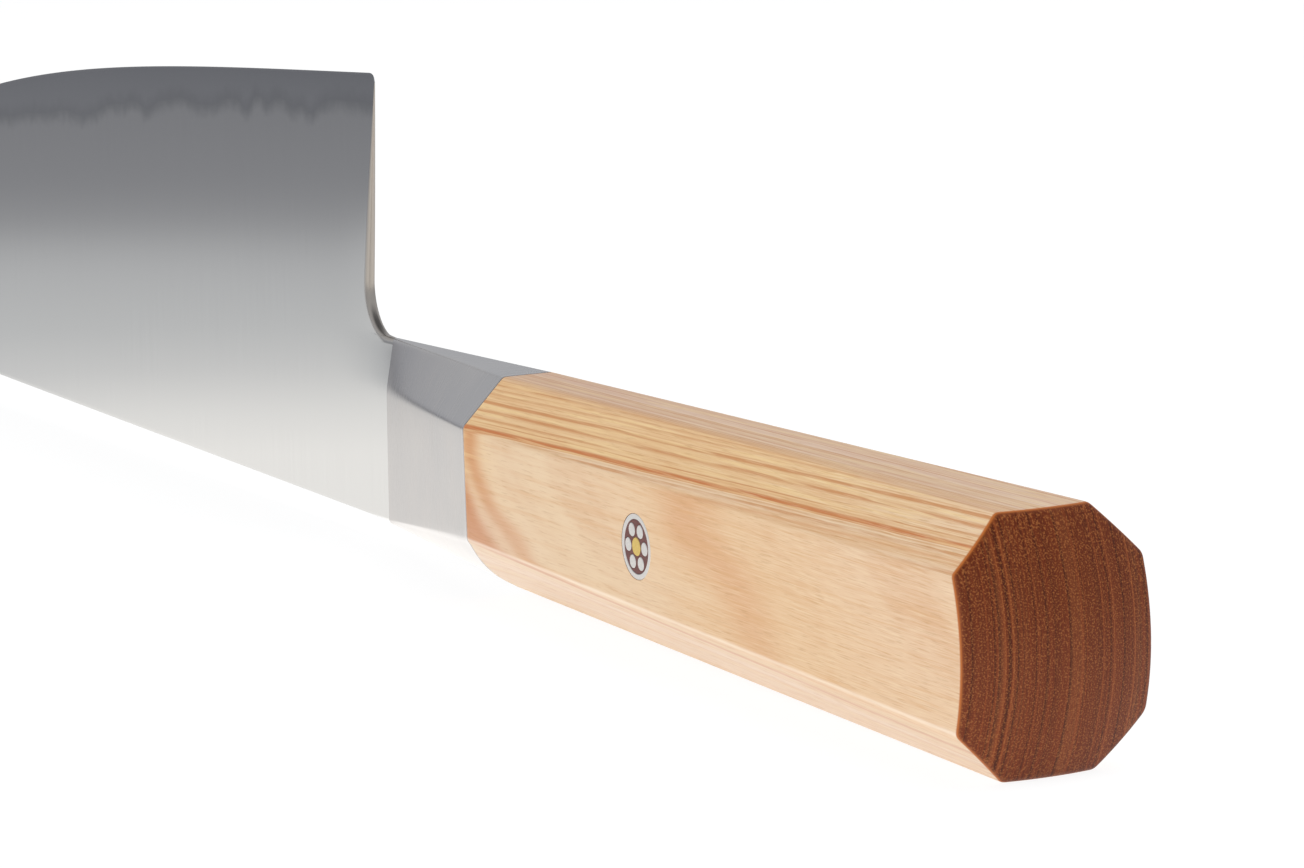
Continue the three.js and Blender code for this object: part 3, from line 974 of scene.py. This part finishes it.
tube_rings = turned((0.0, 0.0), [(pin_bore, pin_edge), (pin_bore + pin_edge, 0.0),
                                 (pin_radius - pin_edge, 0.0), (pin_radius, pin_edge)])
tube_rings = np.concatenate([tube_rings, tube_rings[:1]])
add_piece("pin_tube", tube_rings.reshape(-1, 3), grid_faces(len(tube_rings), around, True),
          pale_metal_finish, "pin_metal", "pin_sleeve")

# %% [markdown]
# The resin is a disc with a hole for every rod. A flat curve with several closed loops fills itself
# and leaves the inner loops open, so it is drawn as a curve, made a mesh and then moved into place.

# %% Pin resin
resin_depth = 0.03


def add_loop(curve, centre, radius):
    """A closed round loop in a flat curve."""
    loop = curve.splines.new("POLY")
    loop.points.add(around - 1)
    points = np.column_stack([*circle(*centre, radius), np.zeros(around), np.ones(around)])
    loop.points.foreach_set("co", points.ravel())
    loop.use_cyclic_u = True


outline = bpy.data.curves.new("resin_outline", "CURVE")
outline.dimensions = "2D"
outline.fill_mode = "BOTH"
outline.extrude = 1.0
add_loop(outline, (0.0, 0.0), pin_bore - pin_gap)
add_loop(outline, (0.0, 0.0), centre_rod_radius + pin_gap)
for rod_place in rod_places:
    add_loop(outline, rod_place, rod_radius + pin_gap)
drawn = add_object("resin_outline", outline)
filled = bpy.data.meshes.new_from_object(drawn.evaluated_get(bpy.context.evaluated_depsgraph_get()))
bpy.data.objects.remove(drawn)
across, up, end_sign = np.array([vertex.co for vertex in filled.vertices]).T
resin_x = pin_x + across
resin_points = np.stack([resin_x, end_sign * (facet_half(resin_x) - resin_depth), up], axis=1)
resin_faces = [list(face.vertices) for face in filled.polygons]
add_piece("resin_fill", resin_points, resin_faces, resin_finish, "pin_resin", "pin_resin")

# %% Hole for the pin
hole_x, hole_z = circle(pin_x, 0.0, pin_radius + pin_gap)
hole_reach = butt_width
hole_rings = np.stack([np.column_stack([hole_x, np.full(around, y), hole_z])
                       for y in (hole_reach, -hole_reach)])
hole_points, hole_faces = ring_body(hole_rings, [pin_x, hole_reach, 0], [pin_x, -hole_reach, 0])
hole_mesh = bpy.data.meshes.new("pin_hole")
hole_mesh.from_pydata((junction + mm * hole_points).tolist(), [], hole_faces)
hole = add_object("pin_hole", hole_mesh)
drill = handle_block.modifiers.new("drill", "BOOLEAN")
drill.operation = "DIFFERENCE"
drill.object = hole
bored = bpy.data.meshes.new_from_object(handle_block.evaluated_get(bpy.context.evaluated_depsgraph_get()))
handle_block.modifiers.clear()
handle_block.data = bored
bpy.data.objects.remove(hole)
print("handle with its hole:", len(bored.vertices), "points")

# %% [markdown]
# ## Table and light
# The knife stands on a white table in a room with grey walls and a dark ceiling. To the camera the
# table is almost plain white. It is a diffuse white too, so it keeps a soft shadow and throws light
# back on the underside of the handle, and it glows faintly with painted light of its own, which
# lights that underside more. The metal sees a painted reflection of the table: its light fades away
# from the knife, which is what makes the upper half of the polished blade go grey, and a painted
# pool of light under the bolster is brighter, which keeps the bolster's lower facet white.

# %% Table
table_half = 4.0
table_glow = 0.82
white = (1, 1, 1, 1)
seen_strength = 1.02
paper_white = (0.9, 0.9, 0.9, 1)
paper_light = 0.34
glow_centre = (-18.0, 0.0, -junction[2] / mm)
glow_narrowing = (1.0, 2.5, 1.0)
glow_radius = 18.0
glow_end = 26.0
glow_strength = 1.45
far_ahead = 1e4
ramp_middle = 0.5
fade_end = 900.0
fade_steps = ((0.0, "#fffdfa"), (100.0, "#fffdfa"), (135.0, "#f2f1ef"), (175.0, "#dbdbdb"),
              (218.0, "#cccdce"), (290.0, "#c0c1c3"), (320.0, "#b7b8ba"), (365.0, "#9c9da0"),
              (430.0, "#8d8e92"), (fade_end, "#7a7b80"))


def white_table(name):
    """White to the camera, and diffuse white with a painted glow for all other light.

    In mirrors the table shows painted light instead: fading away from the knife, with a brighter
    painted pool under the bolster.
    """
    material, tree, shader, place, _ = new_finish(name)
    rays = add_node(tree, "LightPath")
    # In mirrors the table shows painted light, bright near the knife and greyer farther away.
    limits = (0.0, far_ahead, far_ahead)
    behind = add_node(tree, "VectorMath", {0: place, 1: limits}, operation="MINIMUM")[0]
    distance = add_node(tree, "VectorMath", {0: behind}, operation="LENGTH")["Value"]
    share = add_node(tree, "MapRange", {0: distance, 1: 0.0, 2: fade_end})[0]
    fade = add_node(tree, "ValToRGB", {0: share})[0]
    tones = fade.node.color_ramp.elements
    for _ in fade_steps[2:]:
        tones.new(ramp_middle)
    for element, (reach, colour) in zip(tones, fade_steps):
        element.position = reach / fade_end
        element.color = linear(colour)
    # A painted pool of light under the bolster, seen only in mirrors.
    beside = add_node(tree, "VectorMath", {0: place, 1: glow_centre}, operation="SUBTRACT")[0]
    narrowed = add_node(tree, "VectorMath", {0: beside, 1: glow_narrowing}, operation="MULTIPLY")[0]
    from_bolster = add_node(tree, "VectorMath", {0: narrowed}, operation="LENGTH")["Value"]
    glows = {0: from_bolster, 1: glow_radius, 2: glow_end, 3: glow_strength, 4: 1.0}
    glow = add_node(tree, "MapRange", glows)[0]
    mirrored = add_node(tree, "Emission", {"Color": fade, "Strength": glow})[0]
    plain = add_node(tree, "Emission", {"Color": white, "Strength": seen_strength})[0]
    sheet = add_node(tree, "BsdfDiffuse", {"Color": paper_white})[0]
    # The paper glows with painted light of its own, which lights the handle's underside.
    back_light = add_node(tree, "Emission", {"Color": white, "Strength": paper_light})[0]
    paper_and_glow = add_node(tree, "AddShader", {0: sheet, 1: back_light})[0]
    seen = add_node(tree, "MixShader", {0: table_glow, 1: paper_and_glow, 2: plain})[0]
    for_camera = add_node(tree, "MixShader", {0: rays["Is Camera Ray"], 1: paper_and_glow, 2: seen})[0]
    for_metal = add_node(tree, "MixShader", {0: rays["Is Glossy Ray"], 1: for_camera, 2: mirrored})[0]
    tree.nodes.remove(shader)
    tree.links.new(for_metal, tree.nodes["Material Output"].inputs["Surface"])
    return material


table_mesh = bpy.data.meshes.new("table")
table_corners = [(x * table_half, y * table_half, 0) for x, y in ((-1, -1), (1, -1), (1, 1), (-1, 1))]
table_mesh.from_pydata(table_corners, [], [(0, 1, 2, 3)])
table_mesh.materials.append(white_table("white_table"))
table = add_object("table", table_mesh)
print("table", 2 * table_half, "m wide")

# %% Room and lamps
knife_middle = (0.1, 0.0, 0.02)
soft_box_size = 0.9
wall_steps = ((0.0, "#b4b6bb"), (0.3, "#cacccf"), (0.58, "#c6c8cc"), (0.9, "#5c5e62"))
world = bpy.data.worlds.new("grey_room")
world.use_nodes = True
bpy.context.scene.world = world
room = world.node_tree
direction = add_node(room, "TexCoord")["Generated"]
height = add_node(room, "SeparateXYZ", {0: direction})["Z"]
walls = add_node(room, "ValToRGB", {0: height})[0]
wall_tones = walls.node.color_ramp.elements
for _ in wall_steps[2:]:
    wall_tones.new(ramp_middle)
for element, (rise, colour) in zip(wall_tones, wall_steps):
    element.position = rise
    element.color = linear(colour)
to_camera = add_node(room, "LightPath")["Is Camera Ray"]
seen_room = add_node(room, "Mix", {0: to_camera, 6: walls, 7: white}, data_type="RGBA")[2]
room.links.new(seen_room, room.nodes["Background"].inputs["Color"])


def add_lamp(name, place, power):
    """A square soft box at a place in metres, turned to the knife."""
    lamp = bpy.data.lights.new(name, "AREA")
    lamp.size = soft_box_size
    lamp.energy = power
    box = add_object(name, lamp)
    box.location = place
    box.visible_glossy = False
    box.rotation_mode = "QUATERNION"
    box.rotation_quaternion = Vector(np.subtract(place, knife_middle)).to_track_quat("Z", "Y")
    print(name, power, "W")


add_lamp("front_soft_box", (0.3, -1.1, 0.45), 4.0)
add_lamp("top_soft_box", (0.3, 0.3, 1.2), 8.8)

# %% [markdown]
# ## Camera
# A long lens, close to the butt and a little above it, draws the handle large and the blade running
# away. The place is given as a turn, a rise and a distance from a point near the pin, with the small
# tilt that the picture has.

# %% Camera
camera_turn = math.radians(-26.125)
camera_rise = math.radians(9.068)
camera_tilt = math.radians(-1.888)
camera_distance = 497.56
camera_aim = np.array([26.532, 0.0, 7.913])
focal_length = 149.64
sensor_width = 36.0

level = math.cos(camera_rise)
back = np.array([level * math.cos(camera_turn), level * math.sin(camera_turn), math.sin(camera_rise)])
right = np.cross(-back, [0, 0, 1])
right /= np.linalg.norm(right)
upward = np.cross(back, right)
tilted_right = math.cos(camera_tilt) * right + math.sin(camera_tilt) * upward
tilted_up = math.cos(camera_tilt) * upward - math.sin(camera_tilt) * right
lens = bpy.data.cameras.new("camera")
lens.sensor_width = sensor_width
lens.lens = focal_length
lens.clip_start = 0.01
lens.clip_end = 20.0
camera = add_object("camera", lens)
camera_place = junction + mm * (camera_aim + camera_distance * back)
pose = np.eye(4)
pose[:3] = np.column_stack([tilted_right, tilted_up, back, camera_place])
camera.matrix_world = Matrix(pose.tolist())
bpy.context.scene.camera = camera
bpy.context.scene.view_settings.view_transform = "Standard"
print("camera at", np.round(camera_place, 3), "m")
